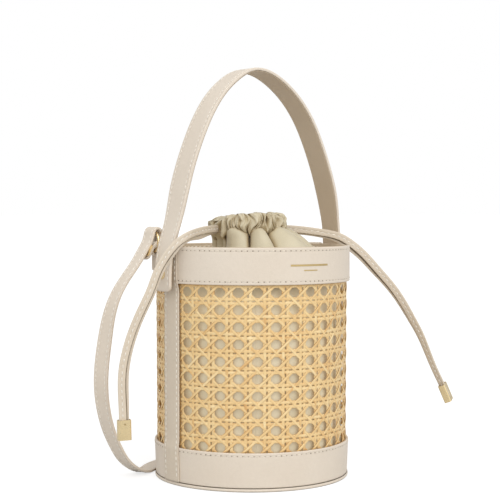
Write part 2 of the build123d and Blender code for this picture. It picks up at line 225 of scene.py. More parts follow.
def strap_section(width, thickness, grooves=(), crown=0.12):
    """Strap cross-section as (across, up): rounded edges, soft crown, sunk stitch channels."""
    groove_depth, groove_spread = 0.22, 0.5
    w, t = width / 2, thickness / 2
    edge = min(0.45, t * 0.75)
    stations = [-w + edge, w - edge, 0.0, -w * 0.5, w * 0.5]
    stations += [g + d for g in grooves for d in (-0.75, -0.3, 0.3, 0.75)]
    xs = [x for x in sorted(set(stations)) if -w + edge <= x <= w - edge]

    def top(x):
        y = t + crown * (1 - (x / w) ** 2)
        for g in grooves:
            y -= groove_depth * math.exp(-((x - g) / groove_spread) ** 2)
        return y - crown

    lip = edge * 0.3
    section = [(x, top(x)) for x in xs]
    section += [(w - lip, t - lip - 0.02), (w, t - edge), (w, -t + edge), (w - lip, -t + lip)]
    section += [(x, -top(x)) for x in xs[::-1]]
    section += [(-w + lip, -t + lip), (-w, -t + edge), (-w, t - edge), (-w + lip, t - lip - 0.02)]
    return np.array(section)


def sweep(positions, across, up, section, scale=None):
    """Rings of a section carried along a path; scale narrows or widens each ring."""
    scale = np.ones(len(positions)) if scale is None else scale
    return np.array([p + section[:, :1] * k * a + section[:, 1:] * u
                     for p, a, u, k in zip(positions, across, up, scale)])


def end_rounding(distances, half_width, radius, start=True):
    """Width factor that rounds the corners at the end of a strap, and at its start too."""
    gap = distances[-1] - distances
    if start:
        gap = np.minimum(gap, distances)
    inward = radius - np.clip(gap, 0, radius)
    width = half_width - radius + np.sqrt(np.maximum(radius ** 2 - inward ** 2, 0))
    return np.maximum(width / half_width, 0.05)


# ---------------------------------------------------------------- stitches
SINK = 0.05                           # how deep stitches and holes sit in the surface


def stitch_shape():
    """One thread stitch lying along x, its ends dipping into the leather."""
    length, radius = 2.7, 0.36
    # position along the length, radius factor
    outline = [(-0.5, 0.15), (-0.42, 0.62), (-0.25, 0.95), (0.0, 1.0),
               (0.25, 0.95), (0.42, 0.62), (0.5, 0.15)]
    return loft([[(x * length, math.cos(a) * r * radius * 1.05,
                   math.sin(a) * r * radius * 0.85 - 0.2 * radius * (2 * x) ** 2 - SINK)
                  for a in circle_angles(6)] for x, r in outline])


def hole_shape():
    """A small dark dimple lens between two stitches, painted shade that reads as the needle hole.
    """
    half_long, half_wide = 0.50, 0.42
    # radius factor, height
    outline = [(1.0, -0.12), (1.0, 0.07), (0.55, 0.03)]
    return loft([[(math.cos(a) * half_long * r, math.sin(a) * half_wide * r, z - SINK)
                  for a in circle_angles(8)] for r, z in outline])


STITCH_VERTS, STITCH_FACES = stitch_shape()
HOLE_VERTS, HOLE_FACES = hole_shape()


def stitches(group, positions, tangents, normals, distances, pitch=4.0, skip=1.5, holes=False):
    """A row of slightly tilted stitches on a surface curve, `skip` mm clear at both ends."""
    total = distances[-1]
    count = int((total - 2 * skip) / pitch)
    offset = (total - count * pitch) / 2

    def surface_at(at):
        point, along, normal = (interp_rows(at, distances, rows)
                                for rows in (positions, tangents, normals))
        along, normal = unit(along), unit(normal)
        normal = unit(normal - along * normal.dot(along))
        return point, along, np.cross(normal, along), normal

    for i in range(count):
        at = offset + (i + 0.5) * pitch
        point, along, across, normal = surface_at(at)
        tilt = math.radians(6.0 + random.uniform(-3, 3))
        along = along * math.cos(tilt) + across * math.sin(tilt)
        axes = np.array([along, np.cross(normal, along), normal])
        stretch = random.uniform(0.94, 1.05)
        group.add(point + (STITCH_VERTS * (stretch, 1, 1)) @ axes, STITCH_FACES, THREAD_SLOT,
                  strand_id=random.random())
        if holes and i + 1 < count:
            point, *axes = surface_at(at + pitch / 2)
            size = random.uniform(0.45, 1.0)
            group.add(point + (HOLE_VERTS * (size, size, 1)) @ np.array(axes), HOLE_FACES,
                      HOLE_SLOT)


# ---------------------------------------------------------------- shader helpers
class Shader:
    """A fresh node tree with its surface node linked to the output."""

    def __init__(self, owner, output, surface):
        owner.use_nodes = True
        self.tree = owner.node_tree
        self.tree.nodes.clear()
        end = self.node(output)
        self.surface = self.node(surface)
        self.tree.links.new(self.surface.outputs[0], end.inputs[0])

    def feed(self, socket, value):
        """Link a socket, or set a constant; colours are given as three numbers."""
        if isinstance(value, bpy.types.NodeSocket):
            self.tree.links.new(value, socket)
        else:
            socket.default_value = (*value, 1) if socket.type == "RGBA" else value

    def set_inputs(self, node, **values):
        for key, value in values.items():
            self.feed(node.inputs[key.replace("_", " ")], value)

    def node(self, kind, *operands, **values):
        """Operands feed the first inputs; Capitalised keys are inputs, others are settings."""
        node = self.tree.nodes.new("ShaderNode" + kind)
        for key, value in values.items():
            if key[0].islower():
                setattr(node, key, value)
        for socket, value in zip(node.inputs, operands):
            self.feed(socket, value)
        self.set_inputs(node, **{k: v for k, v in values.items() if k[0].isupper()})
        return node

    def coords(self, kind="Object"):
        return self.node("TexCoord").outputs[kind]

    def noise(self, coords, **inputs):
        return self.node("TexNoise", Vector=coords, **inputs).outputs["Fac"]

    def scaled(self, coords, scale):
        return self.node("Mapping", Vector=coords, Scale=scale).outputs[0]

    def calc(self, operation, *operands):
        return self.node("Math", *operands, operation=operation).outputs[0]

    def smoothstep(self, value, from_min, from_max, to_min, to_max):
        return self.node("MapRange", value, from_min, from_max, to_min, to_max,
                         interpolation_type="SMOOTHSTEP").outputs[0]

    def ramp(self, value, *stops):
        """A colour ramp; each stop is (position, colour or grey level)."""
        node = self.node("ValToRGB", value)
        elements = node.color_ramp.elements
        while len(elements) < len(stops):
            elements.new(0.5)
        for element, (position, colour) in zip(elements, stops):
            element.position = position
            element.color = (*(colour if isinstance(colour, tuple) else (colour,) * 3), 1)
        return node.outputs[0]

    def mix(self, a, b, factor, blend="MIX"):
        node = self.node("Mix", factor, data_type="RGBA", blend_type=blend)
        self.feed(node.inputs[6], a)
        self.feed(node.inputs[7], b)
        return node.outputs[2]

    def mix_values(self, a, b, factor):
        node = self.node("Mix", factor, data_type="FLOAT")
        self.feed(node.inputs[2], a)
        self.feed(node.inputs[3], b)
        return node.outputs[0]

    def multiply(self, colour, shade, factor):
        return self.mix(colour, shade, factor, "MULTIPLY")

    def occlusion(self, samples, distance):
        node = self.node("AmbientOcclusion", samples=samples, Distance=distance)
        return node.outputs["AO"]

    def finish(self, bump=None, **values):
        """Set the surface inputs; bump is (height, strength, distance in metres)."""
        if bump:
            height, strength, distance = bump
            values["Normal"] = self.node("Bump", Strength=strength, Distance=distance,
                                         Height=height).outputs[0]
        self.set_inputs(self.surface, **values)


def new_material(name):
    material = bpy.data.materials.new(name)
    return material, Shader(material, "OutputMaterial", "BsdfPrincipled")


def srgb(*channels):
    """Linear colour from 0-255 display values."""
    return tuple(c / 255 / 12.92 if c / 255 <= 0.04045 else ((c / 255 + 0.055) / 1.055) ** 2.4
                 for c in channels)


def dimmed(colour, factor):
    return tuple(c * factor for c in colour)


# ---------------------------------------------------------------- materials
def leather(name, base, dark, roughness=0.5, grain=1500.0, relief=0.35):
    """Leather with a cell grain; `grain` is the cell scale and `relief` the bump strength."""
    material, s = new_material(name)
    coords = s.coords()
    blotches = s.noise(coords, Scale=22.0, Detail=3.0, Roughness=0.5)
    fine = s.noise(coords, Scale=420.0, Detail=4.0, Roughness=0.6)
    creases = s.node("TexVoronoi", feature="DISTANCE_TO_EDGE", Vector=coords,
                     Scale=grain).outputs["Distance"]
    pebbles = s.node("TexVoronoi", feature="F1", Vector=coords,
                     Scale=grain * 0.55).outputs["Distance"]
    colour = s.ramp(blotches, (0.3, dark), (0.72, base))
    colour = s.multiply(colour, s.ramp(creases, (0.0, (0.86, 0.84, 0.81)), (0.12, 1)),
                        factor=0.22)
    colour = s.multiply(colour, s.ramp(fine, (0.35, (0.965, 0.96, 0.95)), (0.65, 1.02)),
                        factor=0.5)
    height = s.calc("ADD", s.calc("MULTIPLY_ADD", creases, 1.2, pebbles), fine)
    s.finish(Base_Color=colour,
             Roughness=s.ramp(fine, (0.3, roughness - 0.07), (0.7, roughness + 0.08)),
             Specular_IOR_Level=0.42, Sheen_Weight=0.05, bump=(height, relief, 0.00016))
    return material


def thread(name, colour):
    """Twisted thread: diagonal bands with a little fuzz."""
    material, s = new_material(name)
    coords = s.coords()
    twist = s.node("TexWave", wave_type="BANDS", bands_direction="DIAGONAL", Vector=coords,
                   Scale=900.0, Distortion=0.6).outputs["Fac"]
    fuzz = s.noise(coords, Scale=700.0, Detail=2.0)
    shade = s.ramp(twist, (0.0, dimmed(colour, 0.86)), (0.6, colour))
    shade = s.multiply(shade, s.ramp(fuzz, (0.3, (0.92, 0.91, 0.9)), (0.7, 1.03)), factor=0.7)
    s.finish(Base_Color=shade, Roughness=0.62, Sheen_Weight=0.15, bump=(twist, 0.4, 0.00012))
    return material


def metal(name, colour, roughness):
    """Polished metal with fine scratches running around Z."""
    material, s = new_material(name)
    coords = s.coords()
    patches = s.noise(coords, Scale=160.0, Detail=4.0)
    scratches = s.noise(s.scaled(coords, (1, 1, 14)), Scale=500.0, Detail=3.0)
    s.finish(Base_Color=s.ramp(patches, (0.3, dimmed(colour, 0.93)), (0.7, colour)),
             Roughness=s.ramp(scratches, (0.3, roughness * 0.75), (0.75, roughness * 1.4)),
             Metallic=1.0, bump=(scratches, 0.12, 0.00004))
    return material


def cane_peel():
    """Split rattan: glossy peel, fine fibres along each strand, colour varying by strand."""
    material, s = new_material("cane_peel")
    uv = s.node("UVMap", uv_map="UVMap").outputs[0]
    strand_id = s.node("Attribute", attribute_name="sid").outputs["Fac"]
    split = s.node("SeparateXYZ", uv)
    across = split.outputs[0]

    def strand_noise(across_scale, along_scale, strand_step, **inputs):
        coords = s.node("CombineXYZ", s.calc("MULTIPLY", across, across_scale),
                        s.calc("MULTIPLY", split.outputs[1], along_scale),
                        s.calc("MULTIPLY", strand_id, strand_step)).outputs[0]
        return s.noise(coords, Scale=1.0, **inputs)

    fibres = strand_noise(across_scale=9.0, along_scale=0.12, strand_step=53.0,
                          Detail=4.0, Roughness=0.65)
    tone = strand_noise(across_scale=0.4, along_scale=0.035, strand_step=91.0, Detail=2.0)
    spots = strand_noise(across_scale=1.2, along_scale=0.22, strand_step=17.0,
                         Detail=3.0, Roughness=0.6)
    colour = s.ramp(tone, (0.20, srgb(216, 168, 106)), (0.38, srgb(234, 198, 138)),
                    (0.58, srgb(241, 212, 156)), (0.78, srgb(248, 226, 178)))
    colour = s.multiply(colour, s.ramp(fibres, (0.28, (0.78, 0.70, 0.58)), (0.5, 1),
                                       (0.8, (1.05, 1.05, 1.03))), factor=0.75)
    colour = s.multiply(colour, s.ramp(spots, (0.62, 1), (0.74, (0.83, 0.64, 0.44))),
                        factor=0.8)
    # painted shade: each strand is darker and browner towards its edges, where its sides turn
    # away into the gaps
    from_middle = s.calc("ABSOLUTE", s.calc("SUBTRACT", across, 0.5))
    colour = s.multiply(colour, s.ramp(from_middle, (0.34, 1), (0.5, (0.62, 0.46, 0.30))),
                        factor=0.85)
    # painted shade: an ambient occlusion ramp darkens the crevices between strands to brown
    crevice_shade = s.ramp(s.occlusion(samples=6, distance=0.0024), (0.22, (0.20, 0.10, 0.04)),
                      (0.56, (0.80, 0.66, 0.48)), (0.86, (1.01, 1.0, 1.0)))
    s.finish(Base_Color=s.multiply(colour, crevice_shade, factor=0.95),
             Roughness=s.ramp(fibres, (0.3, 0.30), (0.7, 0.48)),
             Specular_IOR_Level=0.5, bump=(fibres, 0.5, 0.00015))
    return material


def pouch_satin():
    """Woven satin with painted shade in its folds and behind the webbing, and a faint painted
    glow where it stands behind the webbing.
    """
    material, s = new_material("pouch_satin")
    coords = s.coords()
    warp = s.noise(s.scaled(coords, (1, 1, 4.0)), Scale=1300.0, Detail=2.0)
    weft = s.noise(s.scaled(coords, (4.0, 4.0, 1)), Scale=1300.0, Detail=2.0)
    blotches = s.noise(coords, Scale=40.0, Detail=3.0)
    weave = s.calc("MULTIPLY", s.calc("ADD", warp, weft), 0.5)
    colour = s.ramp(blotches, (0.3, srgb(202, 190, 162)), (0.7, srgb(213, 202, 176)))
    colour = s.multiply(colour, s.ramp(weave, (0.35, (0.88, 0.88, 0.86)),
                                       (0.65, (1.08, 1.08, 1.06))), factor=0.8)
    # painted shade: folds, and the small gaps behind the webbing, are darker and browner by an
    # ambient occlusion ramp, a darker one below the rim than above it
    occlusion = s.occlusion(samples=8, distance=0.0055)
    below = s.ramp(occlusion, (0.05, (0.16, 0.09, 0.04)), (0.20, (0.66, 0.56, 0.42)), (0.50, 1))
    above = s.ramp(occlusion, (0.20, (0.22, 0.15, 0.08)), (0.54, (0.76, 0.68, 0.55)),
                   (0.93, (0.99, 0.99, 0.98)))
    height = s.node("SeparateXYZ", coords).outputs["Z"]
    past_rim = s.smoothstep(height, from_min=0.150, from_max=0.164, to_min=0.0, to_max=1.0)
    colour = s.multiply(colour, s.mix(below, above, past_rim), factor=1.0)
    # painted light: below the rim the cloth glows faintly, standing in for light that came in
    # through all the other holes
    glow = s.smoothstep(height, from_min=0.139, from_max=0.152, to_min=0.30, to_max=0.0)
    s.finish(Base_Color=colour, Roughness=0.40, Anisotropic=0.45, Sheen_Weight=0.25,
             Sheen_Roughness=0.4, Specular_IOR_Level=0.5, Emission_Color=colour,
             Emission_Strength=glow, bump=(weave, 0.22, 0.0001))
    return material


def pressed_board():
    material, s = new_material("pressed_board")
    fibres = s.noise(s.coords(), Scale=600.0, Detail=5.0)
    s.finish(Base_Color=s.ramp(fibres, (0.3, srgb(160, 142, 114)), (0.7, srgb(196, 178, 148))),
             Roughness=0.85)
    return material


LEATHER = leather("cream_leather", base=srgb(230, 218, 202), dark=srgb(226, 213, 196),
                  roughness=0.46)
LINING = leather("lining_leather", base=srgb(204, 186, 161), dark=srgb(198, 179, 153),
                 roughness=0.6, grain=1900.0, relief=0.22)
SOFT = leather("soft_leather", base=srgb(222, 209, 190), dark=srgb(216, 202, 182))
# in the material list, but worn by no piece
leather("painted_edge", base=srgb(214, 202, 182), dark=srgb(204, 191, 170),
        roughness=0.38, grain=2600.0, relief=0.12)
# painted shade: the dark beads along the seam above the piping and under the base
SEAM_SHADE = leather("painted_seam_shade", base=srgb(98, 82, 60), dark=srgb(84, 69, 50),
               roughness=0.6, grain=2600.0, relief=0.12)
# painted shade: dark dimples for the needle holes, and the strip between the drawstring strands
HOLE_SHADE = leather("needle_hole_shade", base=srgb(143, 126, 102), dark=srgb(122, 106, 84),
               roughness=0.8, grain=2600.0, relief=0.12)
THREAD = thread("cream_thread", srgb(248, 242, 231))
BAND_THREAD = thread("band_thread", srgb(238, 228, 212))
GOLD = metal("gold_plate", (0.99, 0.80, 0.47), roughness=0.22)
FOIL = metal("gold_foil", (0.72, 0.54, 0.26), roughness=0.34)
CANE = cane_peel()
SATIN = pouch_satin()
BOARD = pressed_board()


# ---------------------------------------------------------------- turned leather walls
STITCH_INSET = 2.3                    # a band's stitch row to its nearer edge


def turned(profile, wobble):
    """A closed profile (radius, z) turned about Z, its radius wobbling as if made by hand."""
    rings = []
    for i in range(TURN_SEGMENTS):
        a = 2 * math.pi * i / TURN_SEGMENTS
        out = Vector((math.cos(a), math.sin(a), 0))
        ring = []
        for r, z in profile:
            r += wobble * noise_at(out.x * 2.2, out.y * 2.2, z * 0.02)
            ring.append((r * out.x, r * out.y, z))
        rings.append(ring)
    group = MeshGroup()
    group.add(*loft(rings, closed=True))
    return group


def circle_path(radius, z):
    """Positions, tangents, outward normals and distances around a level circle."""
    a = np.linspace(0, 2 * math.pi, 721)
    x, y, zero = np.cos(a), np.sin(a), np.zeros_like(a)
    return (np.stack([radius * x, radius * y, zero + z], 1), np.stack([-y, x, zero], 1),
            np.stack([x, y, zero], 1), radius * a)


def wall_profile(r0, z0, r1, z1, inner, grooves):
    """Outer face from (r0, z0) up to (r1, z1) with rounded lips and stitch channels."""
    edge, groove_depth, groove_spread = 0.5, 0.2, 0.5
    zs = [z0 + edge, z1 - edge] + list(np.linspace(z0 + 1.2, z1 - 1.2, 14))
    zs += [g + d for g in grooves for d in (-0.9, -0.45, -0.2, 0, 0.2, 0.45, 0.9)]
    zs = sorted(set(round(z, 3) for z in zs))
    profile = [(inner, z0 + 0.15), (r0 - edge, z0), (r0 - edge * 0.3, z0 + edge * 0.3)]
    for z in zs:
        if z0 + edge <= z <= z1 - edge:
            r = r0 + (r1 - r0) * (z - z0) / (z1 - z0)
            for g in grooves:
                r -= groove_depth * math.exp(-((z - g) / groove_spread) ** 2)
            profile.append((r, z))
    profile += [(r1 - edge * 0.3, z1 - edge * 0.3), (r1 - edge, z1), (inner, z1 - 0.05)]
    return profile


def band(name, wall, inner, rows, stitch_radius):
    """A leather band around the bag; wall is (r0, z0, r1, z1), rows are stitch heights."""
    group = turned(wall_profile(*wall, inner, rows), wobble=0.12)
    for z in rows:
        stitches(group, *circle_path(stitch_radius, z), holes=True)
    group.build(name + "_leather", [LEATHER, BAND_THREAD, HOLE_SHADE], "leather", body="bag",
                replaces=(name,))


def build_bands():
    radius, low, high = 75.0, 148.4, 175.1
    band("top_band", (radius, low, radius, high), inner=73.4,
         rows=(low + STITCH_INSET, high - STITCH_INSET), stitch_radius=radius)
    low, high = 2.7, 28.2
    band("bottom_band", (73.2, low, 74.2, high), inner=72.5,
         rows=(high - STITCH_INSET,), stitch_radius=74.12)


def build_rim():
    """The facing's turned-over lip and the filled edge between the two leathers."""
    # radius, z
    profile = [(70.4, 146.6), (71.1, 146.5), (71.15, 160), (71.2, 174.4), (73.3, 174.5),
               (73.3, 175.0), (72.6, 175.35), (71.4, 175.35), (70.6, 175.2), (70.35, 174.7),
               (70.3, 160)]
    inner_radius, stitch_z = 70.3, 172.6
    rim = turned(profile, wobble=0.1)
    positions, tangents, outward, distances = circle_path(inner_radius, stitch_z)
    stitches(rim, positions, tangents, -outward, distances)
    rim.build("top_facing_leather", [LINING, THREAD, HOLE_SHADE], "lining_leather", body="bag",
              replaces=("top_facing",))


def build_piping():
    """A round cord at the foot of the wall, with a thin dark bead above and below it: painted
    shade for the seam line above and the contact shadow below.
    """
    centre_r, centre_z, radius = 72.6, 1.32, 1.28
    # ring radius, z, bead radius
    shade_beads = [(73.28, 2.72, 0.26), (73.0, 0.32, 0.30)]
    piping = turned([(centre_r + radius * math.cos(a), centre_z + radius * math.sin(a))
                     for a in circle_angles(16)], wobble=0.06)
    for r, z, bead in shade_beads:
        rings = [[((r + bead * math.cos(b)) * math.cos(a), (r + bead * math.cos(b)) * math.sin(a),
                   z + bead * 0.9 * math.sin(b)) for b in circle_angles(8)]
                 for a in circle_angles(TURN_SEGMENTS)]
        piping.add(*loft(rings, closed=True), slot=1)
    piping.build("base_piping_leather", [LEATHER, SEAM_SHADE], "leather", body="bag",
                 replaces=("base_piping",))


def build_side_strips():
    """An upright strip on each side, stepping out over both bands."""
    width, thickness, corner = 18.7, 1.0, 2.0
    stitch_rows = (-6.9, 6.9)
    stitch_arc_radius = 75.0          # turns a row's offset into an angle
    # z, radius of the strip's outer face
    outline = np.array([(2.9, 74.35), (26.5, 75.25), (28.8, 75.3), (31.6, 74.5), (60, 74.4),
                        (120, 74.4), (144.5, 74.4), (147.6, 75.6), (149.5, 76.15), (173.4, 76.1)])
    heights = np.linspace(2.95, 173.4, 150)
    radii = np.interp(heights, outline[:, 0], outline[:, 1])
    radii = np.convolve(np.pad(radii, 2, mode="edge"), np.ones(5) / 5, mode="valid")
    section = strap_section(width, thickness, stitch_rows, crown=0.05)
    narrowing = end_rounding(heights - heights[0], width / 2, corner, start=False)
    for side, label in ((-1, "left"), (1, "right")):
        rings = []
        for z, radius, narrow in zip(heights, radii, narrowing):
            ring = []
            for across, up in section:
                angle = across * narrow / radius
                reach = radius - thickness / 2 + up
                ring.append((side * reach * math.cos(angle), reach * math.sin(angle), z))
            rings.append(ring)
        strip = MeshGroup()
        strip.add(*loft(rings))
        for across in stitch_rows:
            angle = across / stitch_arc_radius
            out = np.array([side * math.cos(angle), math.sin(angle), 0])
            positions = radii[:, None] * out
            positions[:, 2] = heights
            stitches(strip, positions, unit(np.gradient(positions, axis=0)),
                     np.tile(out, (len(heights), 1)), lengths(positions))
        strip.build("side_strip_leather_" + label, [SOFT, THREAD, HOLE_SHADE], "leather", body="bag",
                    replaces=("side_strip_" + label,))


# ---------------------------------------------------------------- cane webbing
CANE_COLUMNS = 33
COLUMN_PITCH = 360.0 / CANE_COLUMNS   # degrees
ROW_PITCH = 12.4
FIRST_COLUMN, FIRST_ROW = -123.87, 31.3    # azimuth and z of the first hole's centre
CANE_LOW, CANE_HIGH = 22.6, 153.0
CANE_SUBSTEPS = 8                     # path points per pitch
PAIR_OFFSETS = (-0.125, 0.125)        # the two strands of a pair, in pitches from its middle
# half widths across, half thicknesses up, texture position across
CANE_SECTION = np.array([
    (-1, -0.2, 0.0), (-0.86, 0.55, 0.1), (-0.4, 0.95, 0.32), (0.4, 0.95, 0.68),
    (0.86, 0.55, 0.9), (1, -0.2, 1.0), (0.6, -0.7, 0.72), (-0.6, -0.7, 0.28)])


def cane_strand(group, columns, rows, width, lift, closed=False, thickness=0.62):
    """A strand through (column, row) points counted in pitches; lift raises its middle."""
    strand_id = random.random()
    angle = np.radians(FIRST_COLUMN + COLUMN_PITCH * columns)
    z = FIRST_ROW + ROW_PITCH * rows
    wall_radius = 72.6 + 0.6 * (z - 22.0) / 131.4
    radius = wall_radius - 0.95 + lift
    positions = np.stack([radius * np.cos(angle), radius * np.sin(angle), z], 1)
    outward = np.stack([np.cos(angle), np.sin(angle), 0 * angle], 1)
    if closed:
        tangents = unit(np.roll(positions, -1, 0) - np.roll(positions, 1, 0))
    else:
        tangents = unit(np.gradient(positions, axis=0))
    across = unit(np.cross(outward, tangents))
    up = unit(np.cross(tangents, across))
    section = CANE_SECTION[:, :2] * (width / 2, thickness / 2)
    distances = lengths(positions)
    uneven = np.array([1 + 0.06 * noise_at(d * 0.08, strand_id * 31.7, 0) for d in distances])
    uvs = np.stack([np.tile(CANE_SECTION[:, 2], len(z)), np.repeat(distances, len(section))], 1)
    group.add(*loft(sweep(positions, across, up, section, uneven), closed), uvs=uvs,
              strand_id=strand_id)


def weave(along, sign):
    """Height of a strand that goes over and under once per pitch."""
    return 0.12 * sign * np.cos(2 * math.pi * (along - 0.5))


def build_cane():
    row_low = (CANE_LOW - FIRST_ROW) / ROW_PITCH
    row_high = (CANE_HIGH - FIRST_ROW) / ROW_PITCH
    rows = np.linspace(row_low, row_high, int((row_high - row_low) * CANE_SUBSTEPS) + 1)
    drift = 0.012                     # sideways wander, in pitches

    uprights = MeshGroup()
    for column in range(CANE_COLUMNS):
        for k, offset in enumerate(PAIR_OFFSETS):
            wander = np.array([noise_at(row * 0.7, column * 3.1, k * 9.0) for row in rows])
            cane_strand(uprights, column + 0.5 + offset + drift * wander, rows, width=2.55,
                        lift=weave(rows, 1 - 2 * k) - 0.05)
    uprights.build("cane_uprights", [CANE], "cane", body="bag", replaces=("cane_webbing",))

    rounds = MeshGroup()
    columns = np.arange(CANE_COLUMNS * CANE_SUBSTEPS) / CANE_SUBSTEPS
    for row in range(-1, 10):
        for k, offset in enumerate(PAIR_OFFSETS):
            middle = row + 0.5 + offset
            if not CANE_LOW + 1 <= FIRST_ROW + ROW_PITCH * middle <= CANE_HIGH - 1:
                continue
            wander = noise_around(2 * math.pi * columns / CANE_COLUMNS, 9, row * 3.7 + k)
            cane_strand(rounds, columns, middle + drift * wander, width=2.45,
                        lift=weave(columns, 2 * k - 1) + 0.02, closed=True)
    rounds.build("cane_rounds", [CANE], "cane", body="bag")

    diagonals = MeshGroup()
    for direction, height in ((1, 0.30), (-1, 0.16)):
        lift = height + 0.16 * direction * np.cos(2 * math.pi * rows)
        for column in range(CANE_COLUMNS):
            cane_strand(diagonals, 0.5 + column + direction * rows, rows, width=2.05,
                        lift=lift, thickness=0.5)
    diagonals.build("cane_diagonals", [CANE], "cane", body="bag")


# ---------------------------------------------------------------- pouch
def azimuths(*from_view):
    """Sorted azimuths of marks given relative to the side facing the camera."""
    return np.sort(np.array([(a + VIEW_AZIMUTH) % 360 for a in from_view]))


CREASES = azimuths(-90, -43, 2.5, 30, 84, 115, 150, 182, 214, 244)
CREASE_DEPTHS = 0.85 + 0.3 * np.random.default_rng(5).random(len(CREASES))
PUFF_EDGES = azimuths(-58, -22.5, 4.3, 31, 67, 96, 121, 152, 180, 209, 233, 268)


def between(degrees, marks):
    """Indices of the marks on both sides, the fraction from one to the other, their span."""
    degrees = degrees % 360
    before = (np.searchsorted(marks, degrees, side="right") - 1) % len(marks)
    after = (before + 1) % len(marks)
    span = (marks[after] - marks[before]) % 360
    return before, after, ((degrees - marks[before]) % 360) / span, span


def bulge(fraction, power):
    """0 at both marks, 1 halfway; a lower power is fuller."""
    return np.abs(np.sin(math.pi * fraction)) ** power


def fold(degrees):
    """The bulge between two creases, and that pair's depth factor."""
    before, after, x, span = between(degrees, CREASES)
    depth = CREASE_DEPTHS[before] * (1 - x) + CREASE_DEPTHS[after] * x
    return bulge(x, 0.52), depth * np.minimum(1.25, span / 34.0)


# z, radius factor on the camera's left, radius factor on its right
NECK_SPREAD = np.array([
    (132, 1.0, 1.0), (141, 0.97, 1.02), (150, 0.90, 1.08), (158, 0.80, 1.13), (166, 0.70, 1.18),
    (173, 0.66, 1.21), (179, 0.76, 1.15), (184, 0.90, 1.05), (190, 0.96, 1.0)])
# radius, z
POUCH_PROFILE = [
    (0.5, 5.1), (35, 5.05), (64, 5.2), (67.4, 6.4), (69.2, 10), (69.8, 20), (69.8, 60),
    (69.8, 100), (69.5, 122), (68.6, 132), (66.2, 141), (61.8, 150), (55.6, 158.5),
    (48.8, 166.0), (42.8, 172.5), (38.4, 178.0), (34.6, 182.6), (31.0, 185.6), (27.0, 187.0)]


def build_pouch():
    """The cloth bag inside the webbing, creased towards its gathered and leaning neck."""
    cloth = 0.7                       # thickness
    floor_rings = 8                   # rings whose inner face is lifted off the bottom
    neck_shift = -2.3                 # towards the camera's right; negative is left
    hollow_azimuth, hollow_spread, hollow_depth = VIEW_AZIMUTH - 66, 14.0, 9.0
    degrees = np.linspace(0, 360, 640, endpoint=False)
    angles = np.radians(degrees)
    folds, depths = fold(degrees)
    rightness = rise((1 + np.cos(np.radians(degrees - (VIEW_AZIMUTH + 90)))) / 2, 0, 1)
    off = (degrees - hollow_azimuth + 180) % 360 - 180
    hollow = hollow_depth * np.exp(-(off / hollow_spread) ** 2)
    rings = []
    for r, z in spline(POUCH_PROFILE, 1.6)[0]:
        near = rise(z, 122, 170)
        top = rise(z, 168, 182)
        inward = min(1, r / 30)       # calms the bottom near the axis
        fine = noise_around(angles, 5.0, z * 0.03)
        crush = noise_around(angles, 9.0, z * 0.16 + 9)
        crease_depth = 0.8 + near * 6.4 + top * 1.6
        radius = r - crease_depth * depths * (1 - folds) * min(1, z / 8) * inward
        radius += near * 1.2 * folds - (0.6 + 0.6 * near)
        radius += (fine * (0.5 + 0.3 * near) + crush * (0.12 + 0.30 * near)) * inward
        left, right = interp_rows(z, NECK_SPREAD[:, 0], NECK_SPREAD[:, 1:])
        radius *= left + (right - left) * rightness
        # one deep hollow beside the left drawstring, where the cloth folds in under the hem
        radius -= hollow * np.interp(z, [158, 170, 178, 182.5, 185], [0, 0.9, 1.0, 0.35, 0])
        shift = rise(z, 122, 167) * neck_shift
        height = z + top * 4.6 * (folds - 0.42) * np.minimum(depths, 1.15) + near * 0.5 * fine
        rings.append(np.stack([VIEW_RIGHT[0] * shift + radius * np.cos(angles),
                               VIEW_RIGHT[1] * shift + radius * np.sin(angles), height], 1))
    outer = np.array(rings)
    inner = outer - unit(outer * (1, 1, 0)) * cloth
    inner[:floor_rings, :, 2] += cloth
    pouch = make("pouch_cloth", *loft(np.concatenate([outer, inner[::-1]])), [SATIN], "satin",
                 replaces=("pouch_body", "pouch_flare"))
    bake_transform(pouch)


# radius, z, strength of the gathers; up the outside, over the top and down into the mouth
HEM_PROFILE = np.array([
    (26.0, 184.6, 0.3), (29.6, 184.2, 0.6), (31.8, 185.8, 0.9), (32.6, 188.6, 1.0),
    (32.7, 191.6, 1.0), (32.2, 194.4, 1.05), (30.9, 196.9, 1.15), (28.6, 198.6, 1.25),
    (25.9, 198.9, 1.2), (23.2, 197.6, 1.1), (20.0, 195.2, 1.0), (16.2, 192.6, 0.85),
    (12.2, 190.4, 0.6), (9.0, 188.2, 0.4), (8.2, 185.0, 0.2), (12.0, 183.0, 0.15),
    (20.0, 183.2, 0.2)])


def ridges(*where):
    """Noise folded into sharp ridges."""
    return 1.0 - np.abs(noise_around(*where)) * 2.6


